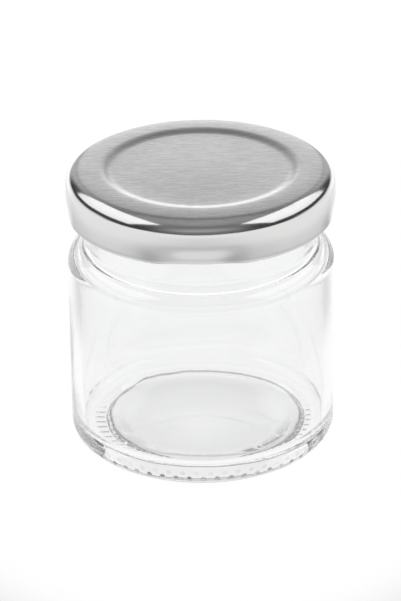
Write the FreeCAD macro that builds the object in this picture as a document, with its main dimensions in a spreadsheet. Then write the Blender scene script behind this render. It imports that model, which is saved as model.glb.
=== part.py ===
import FreeCAD, Part
import math
import os
import Sketcher

# Small round spice jar with a twist-off lid.
# Millimetres and degrees, +Z up, origin in the middle of the base on the surface that the jar stands on.

# Driving sizes: name, value and what it measures. Each one is written here and nowhere else.
SIZES = (
    ("jar_radius", 23.0, "outside of the straight glass wall"),
    ("rim_height", 49.2, "height of the glass rim"),
    ("wall_thickness", 2.0, "straight glass wall"),
    ("heel_radius", 3.6, "rounding from the wall to the base"),
    ("bearing_width", 2.4, "flat ring that the jar stands on"),
    ("push_up_slope", 1.2, "radial width of the slope inside the bearing ring"),
    ("push_up_edge_height", 2.3, "height of the raised middle of the base at its edge"),
    ("push_up_rise", 0.2, "further rise of the raised middle at the axis"),
    ("base_thickness", 1.3, "lowest part of the cavity floor above the edge of the raised middle"),
    ("floor_rise", 1.3, "rise of the cavity floor from its lowest ring to its flat middle"),
    ("floor_slope_width", 6.0, "radial width of the slope round the floor's flat middle"),
    ("cavity_heel_radius", 2.1, "rounding from the cavity wall to its floor"),
    ("shoulder_drop", 16.3, "from the rim down to where the wall turns in"),
    ("shoulder_radius", 3.6, "outer rounding of the shoulder"),
    ("neck_fillet", 2.0, "hollow rounding from the shoulder to the neck"),
    ("neck_step", 3.0, "how far the neck stands inside the wall"),
    ("neck_wall", 2.2, "glass of the neck between the thread ridges"),
    ("cavity_shoulder_rise", 0.3, "how much higher the cavity turns in than the wall"),
    ("cavity_shoulder_radius", 2.0, "rounding inside the shoulder"),
    ("mouth_fillet", 2.2, "rounding from the neck into the cavity"),
    ("rim_round", 0.8, "rounding of both edges of the rim"),
    ("notch_inner_margin", 0.2, "bearing ring left inside the notches"),
    ("notch_outer_margin", 0.4, "bearing ring left outside the notches"),
    ("notch_width", 0.9, "width of a bearing ring notch"),
    ("notch_depth", 0.2, "depth of a bearing ring notch"),
    ("notch_count", 60, "notches around the bearing ring"),
    ("thread_depth", 1.2, "how far the thread ridges stand out of the neck"),
    ("thread_root_height", 1.4, "height of a ridge where it leaves the neck"),
    ("thread_crest_height", 0.7, "height of a ridge at its crest"),
    ("thread_root_depth", 0.6, "how far a ridge is sunk into the neck"),
    ("thread_lead", 17.0, "rise of the thread in one full turn"),
    ("thread_arc_angle", 68.0, "angle that one ridge covers"),
    ("thread_start_angle", 19.0, "angle from a ridge's low end to the middle of the closed lug"),
    ("thread_clearance", 0.05, "room between a closed lug and the root of its ridge"),
    ("start_count", 4, "thread ridges, and lugs on the lid"),
    ("lid_height", 8.3, "lid from its lower edge to its top"),
    ("lid_shoulder_radius", 2.6, "outer rounding from the lid's top to its skirt"),
    ("metal_thickness", 0.24, "lacquered tinplate of the lid"),
    ("curl_radius", 0.85, "outside of the rolled lower edge"),
    ("curl_clearance", 0.25, "room between the rolled edge and the thread ridges"),
    ("panel_margin", 0.6, "flat of the lid between the panel's step and the sealing ring"),
    ("panel_step_width", 2.5, "radial width of the step round the panel"),
    ("panel_depth", 0.4, "depth of the panel below the lid's top"),
    ("lug_clearance", 0.45, "room between a lug's inner end and the neck"),
    ("lug_bottom", 0.4, "lower face of a lug above the lid's lower edge"),
    ("lug_thickness", 1.0, "height of a lug"),
    ("lug_tip_round", 0.35, "rounding of a lug's ends"),
    ("lug_half_angle", 18.0, "half of the angle that a lug covers"),
    ("dent_rise", 0.5, "height above the curl where a lug's dent starts"),
    ("dent_depth", 0.5, "how far the skirt is pressed in at a lug"),
    ("seal_inset", 0.2, "how far the sealing ring starts inside the rim's glass"),
    ("seal_margin", 0.05, "flat of the lid left outside the sealing ring"),
    ("seal_thickness", 0.86, "sealing ring between the glass rim and the lid"),
    ("seal_edge_round", 0.3, "rounding of the sealing ring's lower edges"),
    ("cut_overrun", 1.0, "how far a cut runs past the metal that it removes"),
)
FULL_TURN = 360

doc = FreeCAD.newDocument("SpiceJar")
sheet = doc.addObject("Spreadsheet::Sheet", "Sizes")
for row, (name, value, meaning) in enumerate(SIZES, start=1):
    sheet.set("A%d" % row, meaning)
    sheet.set("B%d" % row, str(value))
    sheet.setAlias("B%d" % row, name)
doc.recompute()


class Size:
    """A number from the sheet, with the expression that ties geometry to it."""

    def __init__(self, value, text):
        self.value = value
        self.text = text

    def __add__(self, other):
        return Size(self.value + other.value, "(%s + %s)" % (self.text, other.text))

    def __sub__(self, other):
        return Size(self.value - other.value, "(%s - %s)" % (self.text, other.text))

    def __mul__(self, other):
        return Size(self.value * other.value, "(%s * %s)" % (self.text, other.text))

    def __truediv__(self, other):
        return Size(self.value / other.value, "(%s / %s)" % (self.text, other.text))

    def __neg__(self):
        return Size(-self.value, "(-%s)" % self.text)


def size(name):
    return Size(sheet.get(name), "Sizes." + name)


def number(value):
    return Size(value, str(value))


def guess(value):
    """A coordinate that the sketch's own constraints settle: only a place to start from."""
    return Size(value, None)


AXIS = number(0)
GROUND = number(0)
TWO = number(2)


def bind(thing, prop, value):
    thing.setExpression(prop, value.text)


def origin_feature(body, role):
    return [feature for feature in body.Origin.OriginFeatures if feature.Role == role][0]


class Outline:
    """A closed sketch outline, walked from corner to corner."""

    def __init__(self, body, name, role, x, y):
        self.sketch = body.newObject("Sketcher::SketchObject", name)
        self.sketch.AttachmentSupport = [(origin_feature(body, role), "")]
        self.sketch.MapMode = "FlatFace"
        self.corners = [(x, y)]
        self.smooth = set()
        self.edges = []

    def line(self, x, y):
        self.edges.append(("line", None, None, None))
        self.corners.append((x, y))
        return self

    def arc(self, x, y, radius, turn, side=1):
        """An arc to x, y. turn is 1 for anticlockwise, side is -1 for an arc of more than half a circle."""
        self.edges.append(("arc", radius, turn, side))
        self.corners.append((x, y))
        return self

    def dome(self, x, y, turn):
        """A flat arc to x, y with its centre on the axis."""
        here = self.corners[-1]
        across = here[0].value - x.value
        rise = here[1].value - y.value
        radius = (across * across + rise * rise) / abs(rise) / 2
        self.edges.append(("dome", guess(radius), turn, 1))
        self.corners.append((x, y))
        return self

    def tangent(self):
        """The last corner is smooth."""
        self.smooth.add(len(self.corners) - 1)
        return self

    def close(self):
        """Draws the outline, ties it to the sheet and returns the sketch."""
        self.edges.append(("line", None, None, None))
        count = len(self.corners)
        shapes = []
        ends = []
        for index, (kind, radius, turn, side) in enumerate(self.edges):
            here = FreeCAD.Vector(*[c.value for c in self.corners[index]], 0)
            there = FreeCAD.Vector(*[c.value for c in self.corners[(index + 1) % count]], 0)
            if kind == "line":
                shapes.append(Part.LineSegment(here, there))
                ends.append((1, 2))
                continue
            chord = there - here
            left = FreeCAD.Vector(-chord.y, chord.x, 0) / chord.Length
            away = math.sqrt(max(radius.value ** 2 - chord.Length ** 2 / 4, 0))
            middle = (here + there) / 2 + left * (away * turn * side)
            first, last = (here, there) if turn > 0 else (there, here)
            start_angle = math.atan2(first.y - middle.y, first.x - middle.x)
            end_angle = math.atan2(last.y - middle.y, last.x - middle.x)
            circle = Part.Circle(middle, FreeCAD.Vector(0, 0, 1), radius.value)
            shapes.append(Part.ArcOfCircle(circle, start_angle, end_angle))
            ends.append((1, 2) if turn > 0 else (2, 1))
        self.sketch.addGeometry(shapes, False)
        for index in range(count):
            self.join(index, (index + 1) % count, ends)
        for index, (x, y) in enumerate(self.corners):
            self.place(index, ends[index][0], "DistanceX", x, -2)
            self.place(index, ends[index][0], "DistanceY", y, -1)
        for index, (kind, radius, turn, side) in enumerate(self.edges):
            if kind == "dome":
                self.sketch.addConstraint(Sketcher.Constraint("PointOnObject", index, 3, -2))
            if kind == "arc" and radius.text:
                added = self.sketch.addConstraint(Sketcher.Constraint("Radius", index, radius.value))
                bind(self.sketch, "Constraints[%d]" % added, radius)
        doc.recompute()
        if not self.sketch.FullyConstrained:
            raise RuntimeError(self.sketch.Name + " is not fully constrained")
        return self.sketch

    def join(self, edge, following, ends):
        kind = "Tangent" if following in self.smooth else "Coincident"
        self.sketch.addConstraint(
            Sketcher.Constraint(kind, edge, ends[edge][1], following, ends[following][0]))

    def place(self, edge, end, kind, coordinate, zero_line):
        if coordinate.text is None:
            return
        if coordinate.value == 0:
            self.sketch.addConstraint(Sketcher.Constraint("PointOnObject", edge, end, zero_line))
            return
        added = self.sketch.addConstraint(Sketcher.Constraint(kind, edge, end, coordinate.value))
        bind(self.sketch, "Constraints[%d]" % added, coordinate)


def s_bend(across, first_radius, second_radius):
    """Where two arcs that make a smooth S meet, and how long the S is, as starting points for a sketch."""
    turn = math.acos(1 - across.value / (first_radius.value + second_radius.value))
    meet_across = first_radius.value * (1 - math.cos(turn))
    meet_along = first_radius.value * math.sin(turn)
    return meet_across, meet_along, (first_radius.value + second_radius.value) * math.sin(turn)


def new_body(label):
    body = doc.addObject("PartDesign::Body", label)
    body.Label = label
    return body


def turned(body, kind, name, sketch):
    """A revolution or groove of a sketch about the upright axis."""
    feature = body.newObject("PartDesign::" + kind, name)
    feature.Profile = (sketch, [""])
    feature.ReferenceAxis = (sketch, ["V_Axis"])
    feature.Angle = FULL_TURN
    return feature


def around(body, name, originals, count):
    """Repeats features evenly around the upright axis."""
    pattern = body.newObject("PartDesign::PolarPattern", name)
    pattern.Originals = originals
    pattern.Axis = (origin_feature(body, "Z_Axis"), [""])
    pattern.Angle = FULL_TURN
    bind(pattern, "Occurrences", count)
    body.Tip = pattern
    doc.recompute()
    return pattern


# Glass jar

jar = new_body("glass_jar")
jar_radius = size("jar_radius")
rim_height = size("rim_height")
rim_round = size("rim_round")
heel_radius = size("heel_radius")
bearing_outer = jar_radius - heel_radius
bearing_inner = bearing_outer - size("bearing_width")
push_up_edge_height = size("push_up_edge_height")
shoulder_start = rim_height - size("shoulder_drop")
shoulder_radius = size("shoulder_radius")
neck_fillet = size("neck_fillet")
neck_radius = jar_radius - size("neck_step")
mouth_radius = neck_radius - size("neck_wall")
mouth_fillet = size("mouth_fillet")
cavity_radius = jar_radius - size("wall_thickness")
cavity_shoulder_radius = size("cavity_shoulder_radius")
cavity_shoulder_start = shoulder_start + size("cavity_shoulder_rise")
cavity_heel_radius = size("cavity_heel_radius")
floor_edge_height = push_up_edge_height + size("base_thickness")
floor_edge_radius = cavity_radius - cavity_heel_radius
floor_rise = size("floor_rise")
floor_height = floor_edge_height + floor_rise
slope_width = size("floor_slope_width")
slope_square = slope_width.value ** 2 + floor_rise.value ** 2
slope_radius = slope_square / (2 * TWO.value * floor_rise.value)

outer_bend = s_bend(jar_radius - neck_radius, shoulder_radius, neck_fillet)
inner_bend = s_bend(cavity_radius - mouth_radius, cavity_shoulder_radius, mouth_fillet)

glass = Outline(jar, "GlassProfile", "XZ_Plane", AXIS, push_up_edge_height + size("push_up_rise"))
glass.dome(bearing_inner - size("push_up_slope"), push_up_edge_height, -1)
glass.line(bearing_inner, GROUND)
glass.line(bearing_outer, GROUND)
glass.arc(jar_radius, heel_radius, heel_radius, 1)
glass.line(jar_radius, shoulder_start).tangent()
glass.arc(guess(jar_radius.value - outer_bend[0]), guess(shoulder_start.value + outer_bend[1]),
          shoulder_radius, 1).tangent()
glass.arc(neck_radius, guess(shoulder_start.value + outer_bend[2]), neck_fillet, -1).tangent()
glass.line(neck_radius, rim_height - rim_round)
glass.arc(neck_radius - rim_round, rim_height, rim_round, 1)
glass.line(mouth_radius + rim_round, rim_height)
glass.arc(mouth_radius, rim_height - rim_round, rim_round, 1)
glass.line(mouth_radius, guess(cavity_shoulder_start.value + inner_bend[2])).tangent()
glass.arc(guess(cavity_radius.value - inner_bend[0]), guess(cavity_shoulder_start.value + inner_bend[1]),
          mouth_fillet, 1).tangent()
glass.arc(cavity_radius, cavity_shoulder_start, cavity_shoulder_radius, -1).tangent()
glass.line(cavity_radius, floor_edge_height + cavity_heel_radius)
glass.arc(floor_edge_radius, floor_edge_height, cavity_heel_radius, -1).tangent()
glass.arc(floor_edge_radius - slope_width / TWO, floor_edge_height + floor_rise / TWO,
          guess(slope_radius), -1)
glass.arc(floor_edge_radius - slope_width, floor_height, guess(slope_radius), 1).tangent()
glass.line(AXIS, floor_height)
turned(jar, "Revolution", "BlownGlass", glass.close())
doc.recompute()
plain_volume = jar.Shape.Volume

# Notches that leave the base standing on a ring of short bars
notch_half = size("notch_width") / TWO
notch_inner = bearing_inner + size("notch_inner_margin")
notch_outer = bearing_outer - size("notch_outer_margin")
notch = Outline(jar, "NotchOutline", "XY_Plane", notch_inner, -notch_half)
notch.line(notch_outer, -notch_half)
notch.line(notch_outer, notch_half)
notch.line(notch_inner, notch_half)
notch_sketch = notch.close()
notch_cut = jar.newObject("PartDesign::Pocket", "Notch")
notch_cut.Profile = (notch_sketch, [""])
notch_cut.Reversed = True
bind(notch_cut, "Length", size("notch_depth"))
doc.recompute()
if not jar.Shape.Volume < plain_volume:
    raise RuntimeError("the notch cuts no glass")
around(jar, "BearingRing", [notch_cut], size("notch_count"))
notched_volume = jar.Shape.Volume

# Thread ridges on the neck. Each starts just before the lug that it holds when the lid is closed.
lid_height = size("lid_height")
metal = size("metal_thickness")
lid_base = rim_height + size("seal_thickness") + metal - lid_height
lug_top = size("lug_bottom") + size("lug_thickness")
root_half = size("thread_root_height") / TWO
crest_half = size("thread_crest_height") / TWO
ridge_middle = lid_base + lug_top + size("thread_clearance") + root_half
root_radius = neck_radius - size("thread_root_depth")
thread_radius = neck_radius + size("thread_depth")

ridge = Outline(jar, "RidgeProfile", "XZ_Plane", root_radius, ridge_middle - root_half)
ridge.line(neck_radius, ridge_middle - root_half)
ridge.line(thread_radius, ridge_middle - crest_half)
ridge.line(thread_radius, ridge_middle + crest_half)
ridge.line(neck_radius, ridge_middle + root_half)
ridge.line(root_radius, ridge_middle + root_half)
ridge_sketch = ridge.close()
ridge_sketch.AttachmentOffset = FreeCAD.Placement(
    FreeCAD.Vector(0, 0, 0), FreeCAD.Rotation(FreeCAD.Vector(0, 1, 0), -size("thread_start_angle").value))
bind(ridge_sketch, "AttachmentOffset.Rotation.Angle", -size("thread_start_angle"))
doc.recompute()
ridge_sweep = jar.newObject("PartDesign::AdditiveHelix", "ThreadRidge")
ridge_sweep.Profile = (ridge_sketch, [""])
ridge_sweep.ReferenceAxis = (ridge_sketch, ["V_Axis"])
ridge_sweep.Mode = "pitch-turns-angle"
bind(ridge_sweep, "Pitch", size("thread_lead"))
bind(ridge_sweep, "Turns", size("thread_arc_angle") / number(FULL_TURN))
doc.recompute()
around(jar, "ThreadRidges", [ridge_sweep], size("start_count"))
if not jar.Shape.Volume > notched_volume:
    raise RuntimeError("the thread ridges add no glass")

# Lid shell, drawn from its own lower edge

lid = new_body("lid_shell")
lid_shoulder = size("lid_shoulder_radius")
curl_radius = size("curl_radius")
lid_radius = thread_radius + size("curl_clearance") + curl_radius * TWO
seal_inner = mouth_radius + size("seal_inset")
step_width = size("panel_step_width")
step_depth = size("panel_depth")
panel_top = lid_height - step_depth
step_outer = seal_inner - size("panel_margin")
panel_radius = step_outer - step_width
step_square = step_width * step_width + step_depth * step_depth
step_radius = step_square.value / (2 * TWO.value * step_depth.value)
slope_across = metal * TWO * step_width * step_depth / step_square
slope_down = metal * (step_width * step_width - step_depth * step_depth) / step_square

shell = Outline(lid, "ShellProfile", "XZ_Plane", AXIS, panel_top)
shell.line(panel_radius, panel_top).tangent()
shell.arc(panel_radius + step_width / TWO, panel_top + step_depth / TWO, guess(step_radius), 1)
shell.arc(step_outer, lid_height, guess(step_radius), -1).tangent()
shell.line(lid_radius - lid_shoulder, lid_height)
shell.arc(lid_radius, lid_height - lid_shoulder, lid_shoulder, -1)
shell.line(lid_radius, curl_radius)
shell.arc(lid_radius - curl_radius, curl_radius * TWO, curl_radius, -1, side=-1)
shell.line(lid_radius - curl_radius, curl_radius * TWO - metal)
shell.arc(lid_radius - metal, curl_radius, curl_radius - metal, 1, side=-1)
shell.line(lid_radius - metal, lid_height - lid_shoulder)
shell.arc(lid_radius - lid_shoulder, lid_height - metal, lid_shoulder - metal, 1)
shell.line(step_outer, lid_height - metal).tangent()
shell.arc(panel_radius + step_width / TWO + slope_across, panel_top + step_depth / TWO - slope_down,
          guess(step_radius - metal.value), 1)
shell.arc(panel_radius, panel_top - metal, guess(step_radius + metal.value), -1).tangent()
shell.line(AXIS, panel_top - metal)
turned(lid, "Revolution", "StampedShell", shell.close())
doc.recompute()
shell_volume = lid.Shape.Volume

# Lugs: the curl is taken out over a short arc and the pressed-in metal put in its place
lug_tip = neck_radius + size("lug_clearance")
lug_bottom = size("lug_bottom")
tip_round = size("lug_tip_round")
dent_height = curl_radius * TWO + size("dent_rise")
dent_radius = lid_radius - size("dent_depth")
overrun = size("cut_overrun")

gap = Outline(lid, "CurlGapOutline", "XZ_Plane", lug_tip - overrun, -overrun)
gap.line(lid_radius + overrun, -overrun)
gap.line(lid_radius + overrun, dent_height)
gap.line(lug_tip - overrun, dent_height)
curl_gap = turned(lid, "Groove", "CurlGap", gap.close())
curl_gap.Midplane = True
bind(curl_gap, "Angle", size("lug_half_angle") * TWO)
doc.recompute()
if not lid.Shape.Volume < shell_volume:
    raise RuntimeError("the curl is not cut at the lug")

tongue = Outline(lid, "LugProfile", "XZ_Plane", lid_radius, dent_height)
tongue.line(lid_radius - metal, dent_height)
tongue.line(dent_radius - metal, lug_top)
tongue.line(lug_tip + tip_round, lug_top)
tongue.arc(lug_tip, lug_top - tip_round, tip_round, 1)
tongue.line(lug_tip, lug_bottom + tip_round)
tongue.arc(lug_tip + tip_round, lug_bottom, tip_round, 1)
tongue.line(dent_radius - tip_round, lug_bottom)
tongue.arc(dent_radius, lug_bottom + tip_round, tip_round, 1)
lug = turned(lid, "Revolution", "Lug", tongue.close())
lug.Midplane = True
bind(lug, "Angle", size("lug_half_angle") * TWO)
doc.recompute()
around(lid, "Lugs", [curl_gap, lug], size("start_count"))
bind(lid, "Placement.Base.z", lid_base)

# Sealing ring, drawn from its own lower face

seal = new_body("sealing_ring")
seal_outer = lid_radius - lid_shoulder - size("seal_margin")
seal_thickness = size("seal_thickness")
seal_round = size("seal_edge_round")
ring = Outline(seal, "RingProfile", "XZ_Plane", seal_inner, seal_round)
ring.arc(seal_inner + seal_round, GROUND, seal_round, 1)
ring.line(seal_outer - seal_round, GROUND)
ring.arc(seal_outer, seal_round, seal_round, 1)
ring.line(seal_outer, seal_thickness)
ring.line(seal_inner, seal_thickness)
turned(seal, "Revolution", "SealingCompound", ring.close())
bind(seal, "Placement.Base.z", rim_height)
doc.recompute()

# Each piece is tested and then written to its own file

os.makedirs("parts", exist_ok=True)
for thing in doc.Objects:
    if "Invalid" in thing.State or "Error" in thing.State:
        raise RuntimeError("%s is %s" % (thing.Name, thing.State))
for piece in (jar, lid, seal):
    shape = piece.Shape
    if shape.isNull() or not shape.isValid() or len(shape.Solids) != 1:
        raise RuntimeError(piece.Label + " is not one valid solid")
    shape.exportStep("parts/%s.step" % piece.Label)
    box = shape.optimalBoundingBox()
    print("%s: %.1f mm3, %.2f x %.2f mm, from z %.2f to %.2f" % (
        piece.Label, shape.Volume, box.XLength, box.YLength, box.ZMin, box.ZMax))
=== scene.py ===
# %% [markdown]
# # A spice jar with a twist-off lid
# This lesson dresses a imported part: a small clear glass jar, its stamped tinplate lid and the soft ring
# that seals the two. The solids arrive as a fixed frame in metres. Each one is replaced here by a finer
# skin of the same size, because glass and bright metal show every facet that a plain solid has.

# %% Load the frame
import math

import bpy
import numpy as np
from mathutils import Matrix, Vector


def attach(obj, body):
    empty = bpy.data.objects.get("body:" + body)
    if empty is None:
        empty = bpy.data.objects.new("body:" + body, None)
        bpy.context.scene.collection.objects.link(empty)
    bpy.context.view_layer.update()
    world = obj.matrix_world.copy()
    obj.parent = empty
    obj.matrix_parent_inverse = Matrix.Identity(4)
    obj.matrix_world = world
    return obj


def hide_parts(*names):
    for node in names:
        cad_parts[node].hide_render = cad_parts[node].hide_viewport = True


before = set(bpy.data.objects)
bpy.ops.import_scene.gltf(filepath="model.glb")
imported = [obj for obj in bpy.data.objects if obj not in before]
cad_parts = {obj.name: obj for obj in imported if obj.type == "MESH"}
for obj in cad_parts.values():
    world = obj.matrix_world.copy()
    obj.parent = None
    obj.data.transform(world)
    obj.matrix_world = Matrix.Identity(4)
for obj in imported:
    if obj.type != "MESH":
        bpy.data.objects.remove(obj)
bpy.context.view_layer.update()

MM = 0.001

# %% [markdown]
# ## Drawing a profile
# All three pieces are round, so each starts as half of a cross-section: distances from the axis and
# heights, in millimetres. Short helpers give straight runs and arcs, and a path joins them. Dense points in
# the bends and few on the flats keep the skin smooth where light bends most.

# %% Profile helpers


def run(start, end, steps):
    """Evenly spaced points on a straight run."""
    return np.linspace(start, end, steps)


def arc(centre, radius, start, end, steps):
    """Points on an arc, with angles in degrees from the outward direction."""
    angle = np.radians(np.linspace(start, end, steps))
    return np.column_stack([centre[0] + radius * np.cos(angle), centre[1] + radius * np.sin(angle)])


def path(*pieces):
    """Joins pieces and drops the points where one starts at the end of the last."""
    joined = [pieces[0]]
    for piece in pieces[1:]:
        joined.append(piece[1:] if np.allclose(piece[0], joined[-1][-1], atol=1e-6) else piece)
    return np.vstack(joined)


def smooth(low, high, value):
    """0 below low, 1 above high, with soft ends."""
    share = np.clip((value - low) / (high - low), 0, 1)
    return share * share * (3 - 2 * share)


def length_along(points):
    """How far each point lies from the first one, measured along the line."""
    return np.r_[0, np.cumsum(np.hypot(*np.diff(points, axis=0).T))]


def s_bend(start_radius, end_radius, start_height, first, second, steps):
    """Two arcs in one smooth S that carries a wall inwards as it rises."""
    turn = math.degrees(math.acos(1 - (start_radius - end_radius) / (first + second)))
    rise = (first + second) * math.sin(math.radians(turn))
    low = arc((start_radius - first, start_height), first, 0, turn, steps)
    high = arc((end_radius + second, start_height + rise), second, 180 + turn, 180, steps)
    return path(low, high)


# %% [markdown]
# ## Skinning
# A profile is spun into a grid of points, ring after ring. Each grid is then joined into quads, with a fan
# of triangles where it meets the axis. The order of the corners decides which way a face looks, and glass
# needs every face to look out of the glass.

# %% Spin and skin helpers


def spin(profile, segments):
    """A grid of points, one ring for each profile point, with the angle of every column."""
    angle = np.arange(segments) * (2 * math.pi / segments)
    radius = profile[:, 0][:, None]
    height = np.repeat(profile[:, 1][:, None], segments, axis=1)
    return np.dstack([radius * np.cos(angle), radius * np.sin(angle), height]), angle


def skin(name, grid, poles=(), looped=False, flip=False):
    """Makes a smooth mesh object out of a grid in millimetres. poles are heights of the two axis points."""
    rings, segments = grid.shape[:2]
    points = [tuple(p) for p in (grid.reshape(-1, 3) * MM)]
    index = np.arange(rings * segments).reshape(rings, segments)
    below, above = (index, np.roll(index, -1, axis=0)) if looped else (index[:-1], index[1:])
    beside_below = np.roll(below, -1, axis=1)
    beside_above = np.roll(above, -1, axis=1)
    quads = np.dstack([below, beside_below, beside_above, above]).reshape(-1, 4)
    faces = [tuple(q) for q in quads.tolist()]
    for ring, height, turn in zip((index[0], index[-1]), poles, (-1, 1)):
        points.append((0.0, 0.0, height * MM))
        for here, there in zip(ring.tolist(), np.roll(ring, -1).tolist()):
            faces.append((here, there, len(points) - 1) if turn > 0 else (there, here, len(points) - 1))
    if flip:
        faces = [tuple(reversed(face)) for face in faces]
    mesh = bpy.data.meshes.new(name)
    mesh.from_pydata(points, [], faces)
    mesh.validate()
    mesh.shade_smooth()
    piece = bpy.data.objects.new(name, mesh)
    bpy.context.scene.collection.objects.link(piece)
    print(name, "has", len(mesh.polygons), "faces")
    return piece


def keep_value(piece, label, values):
    """Keeps one number with every point of a piece, for its finish."""
    piece.data.attributes.new(label, "FLOAT", "POINT").data.foreach_set("value", values)


# %% [markdown]
# ## The glass
# The jar is one moulding: a raised base, a notched ring to stand on, a rounded heel, a straight wall, a
# shoulder and a neck. The outside takes the mould's shape, while the inside is blown, so its floor is thick
# in the middle and runs down into a shallow trough before it turns up into the wall. The trough's height
# stands for the whole floor at first, and a later step raises the middle.

# %% Glass sizes
JAR_RADIUS = 23.0
RIM_HEIGHT = 49.2
HEEL = 3.6
BEARING_OUTER = JAR_RADIUS - HEEL
BEARING_INNER = 17.0
PUSH_UP_EDGE = 15.8
PUSH_UP_EDGE_HEIGHT = 2.3
PUSH_UP_HEIGHT = 2.5
SHOULDER_START = 32.9
SHOULDER_RADIUS = 3.6
NECK_FILLET = 2.0
NECK_RADIUS = 20.0
RIM_ROUND = 0.8
MOUTH_RADIUS = 17.8
MOUTH_FILLET = 1.95
CAVITY_RADIUS = 21.0
CAVITY_SHOULDER_RADIUS = 1.85
CAVITY_SHOULDER_START = 33.2
CAVITY_HEEL = 2.1
TROUGH_HEIGHT = 3.6

rim_low = RIM_HEIGHT - RIM_ROUND
heel_top = TROUGH_HEIGHT + CAVITY_HEEL
trough_radius = CAVITY_RADIUS - CAVITY_HEEL
print("jar is", 2 * JAR_RADIUS, "mm across and", RIM_HEIGHT, "mm high")

# %% Glass profile
PUSH_UP_RINGS = 8
PUSH_UP_LAST_RINGS = (0.95, 0.98, 1)
PUSH_UP_SLOPE_RINGS = 12
SLOPE_FOOT = 14.5
PAD_MIDDLE = 9.0
POLE_GAP = 0.5

push_share = np.r_[np.linspace(0, 1, PUSH_UP_RINGS)[1:-1], PUSH_UP_LAST_RINGS]
push_up = np.column_stack([push_share * PUSH_UP_EDGE,
                           PUSH_UP_HEIGHT - (PUSH_UP_HEIGHT - PUSH_UP_EDGE_HEIGHT) * push_share ** 2])
slope_share = np.linspace(0, 1, PUSH_UP_SLOPE_RINGS)
slope = np.column_stack([PUSH_UP_EDGE + (BEARING_INNER - PUSH_UP_EDGE) * slope_share,
                         PUSH_UP_EDGE_HEIGHT * (1 - smooth(0, 1, slope_share))])
outer_shoulder = s_bend(JAR_RADIUS, NECK_RADIUS, SHOULDER_START, SHOULDER_RADIUS, NECK_FILLET, 11)
inner_shoulder = s_bend(CAVITY_RADIUS, MOUTH_RADIUS, CAVITY_SHOULDER_START, CAVITY_SHOULDER_RADIUS,
                        MOUTH_FILLET, 10)[::-1]
glass_profile = path(
    push_up,
    slope,
    run((BEARING_INNER, 0), (BEARING_OUTER, 0), 9),
    arc((BEARING_OUTER, HEEL), HEEL, -90, 0, 32),
    run((JAR_RADIUS, HEEL), (JAR_RADIUS, SHOULDER_START), 7),
    outer_shoulder,
    run(outer_shoulder[-1], (NECK_RADIUS, rim_low), 30),
    arc((NECK_RADIUS - RIM_ROUND, rim_low), RIM_ROUND, 0, 90, 7),
    arc((MOUTH_RADIUS + RIM_ROUND, rim_low), RIM_ROUND, 90, 180, 7),
    run((MOUTH_RADIUS, rim_low), inner_shoulder[0], 4),
    inner_shoulder,
    run((CAVITY_RADIUS, CAVITY_SHOULDER_START), (CAVITY_RADIUS, heel_top), 7),
    arc((trough_radius, heel_top), CAVITY_HEEL, 0, -90, 14),
    run((trough_radius, TROUGH_HEIGHT), (SLOPE_FOOT, TROUGH_HEIGHT), 22),
    run((SLOPE_FOOT, TROUGH_HEIGHT), (PAD_MIDDLE, TROUGH_HEIGHT), 12),
    run((PAD_MIDDLE, TROUGH_HEIGHT), (POLE_GAP, TROUGH_HEIGHT), 5),
)
print("glass profile has", len(glass_profile), "points")

# %% [markdown]
# ## The base
# A hot jar rides on a conveyor, so its ring is cut by sixty small notches that let air in, and a row of
# small dents round the heel keeps the glass from slipping. Both are waves or bumps in the angle, faded in
# and out along the profile, and the notches are worn at the back. Moving the points along the surface's own
# lean keeps the heel round.

# %% Notches and dents
SEGMENTS = 480
NOTCH_COUNT = 60
NOTCH_DEPTH = 0.11
NOTCH_INNER = 17.0
NOTCH_OUTER = 19.6
NOTCH_LEAD_IN = 0.3
NOTCH_SOFT = 0.8
NOTCH_TOP = 2.0
NOTCH_WORN = 0.8
WORN_START = 0.05
WORN_END = 0.4
HEEL_DENT_DEPTH = 0.04
HEEL_DENT_ANGLE = -31.0
HEEL_DENT_SPREAD = 5.5
HEEL_DENT_WIDTH = 0.4

glass_grid, turn = spin(glass_profile, SEGMENTS)
radius = np.hypot(glass_grid[..., 0], glass_grid[..., 1])
height = glass_grid[..., 2].copy()
rim_ring = int(np.argmax(glass_profile[:, 1]))
outside = (np.arange(len(glass_profile)) <= rim_ring)[:, None]

notch_start = NOTCH_INNER - NOTCH_LEAD_IN
worn = 1 - NOTCH_WORN * smooth(WORN_START, WORN_END, np.sin(turn))
notch = (worn * smooth(-1, 1, np.cos(NOTCH_COUNT * turn)))[None, :]
notch_reach = smooth(notch_start, NOTCH_INNER + NOTCH_SOFT, radius)
notch_reach = notch_reach * (1 - smooth(NOTCH_OUTER - NOTCH_SOFT, NOTCH_OUTER, radius))
near_ring = outside & (height < NOTCH_TOP) & (radius > notch_start)
press_in = np.where(near_ring, NOTCH_DEPTH * notch * notch_reach, 0)

heel_angle = np.degrees(np.arctan2(height - HEEL, radius - BEARING_OUTER))
on_heel = outside & (height < HEEL) & (radius > BEARING_OUTER)
pitch = 2 * math.pi / NOTCH_COUNT
off_dent = ((turn + pitch / 2) % pitch - pitch / 2) * JAR_RADIUS
dent_along = np.exp(-(off_dent / HEEL_DENT_WIDTH) ** 2)[None, :]
dent = dent_along * np.exp(-((heel_angle - HEEL_DENT_ANGLE) / HEEL_DENT_SPREAD) ** 2)
press_in = press_in + np.where(on_heel, HEEL_DENT_DEPTH * dent, 0)

lean = np.clip((radius - BEARING_OUTER) / HEEL, 0, 1)
glass_grid[..., 2] += press_in * np.sqrt(1 - lean ** 2)
out_by = -press_in * lean
print("deepest dent or notch", round(float(press_in.max()), 3), "mm")

# %% [markdown]
# ## The raised middle
# The middle of the base is pushed up so that the jar stands only on its ring. On this jar it stands a
# little to one side, its edge ripples, and its flank is steep except at three places. That edge bends the
# light of the table and draws the wavy ellipse that is seen through the wall. Scaling the rings by angle is
# enough for it.

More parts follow.
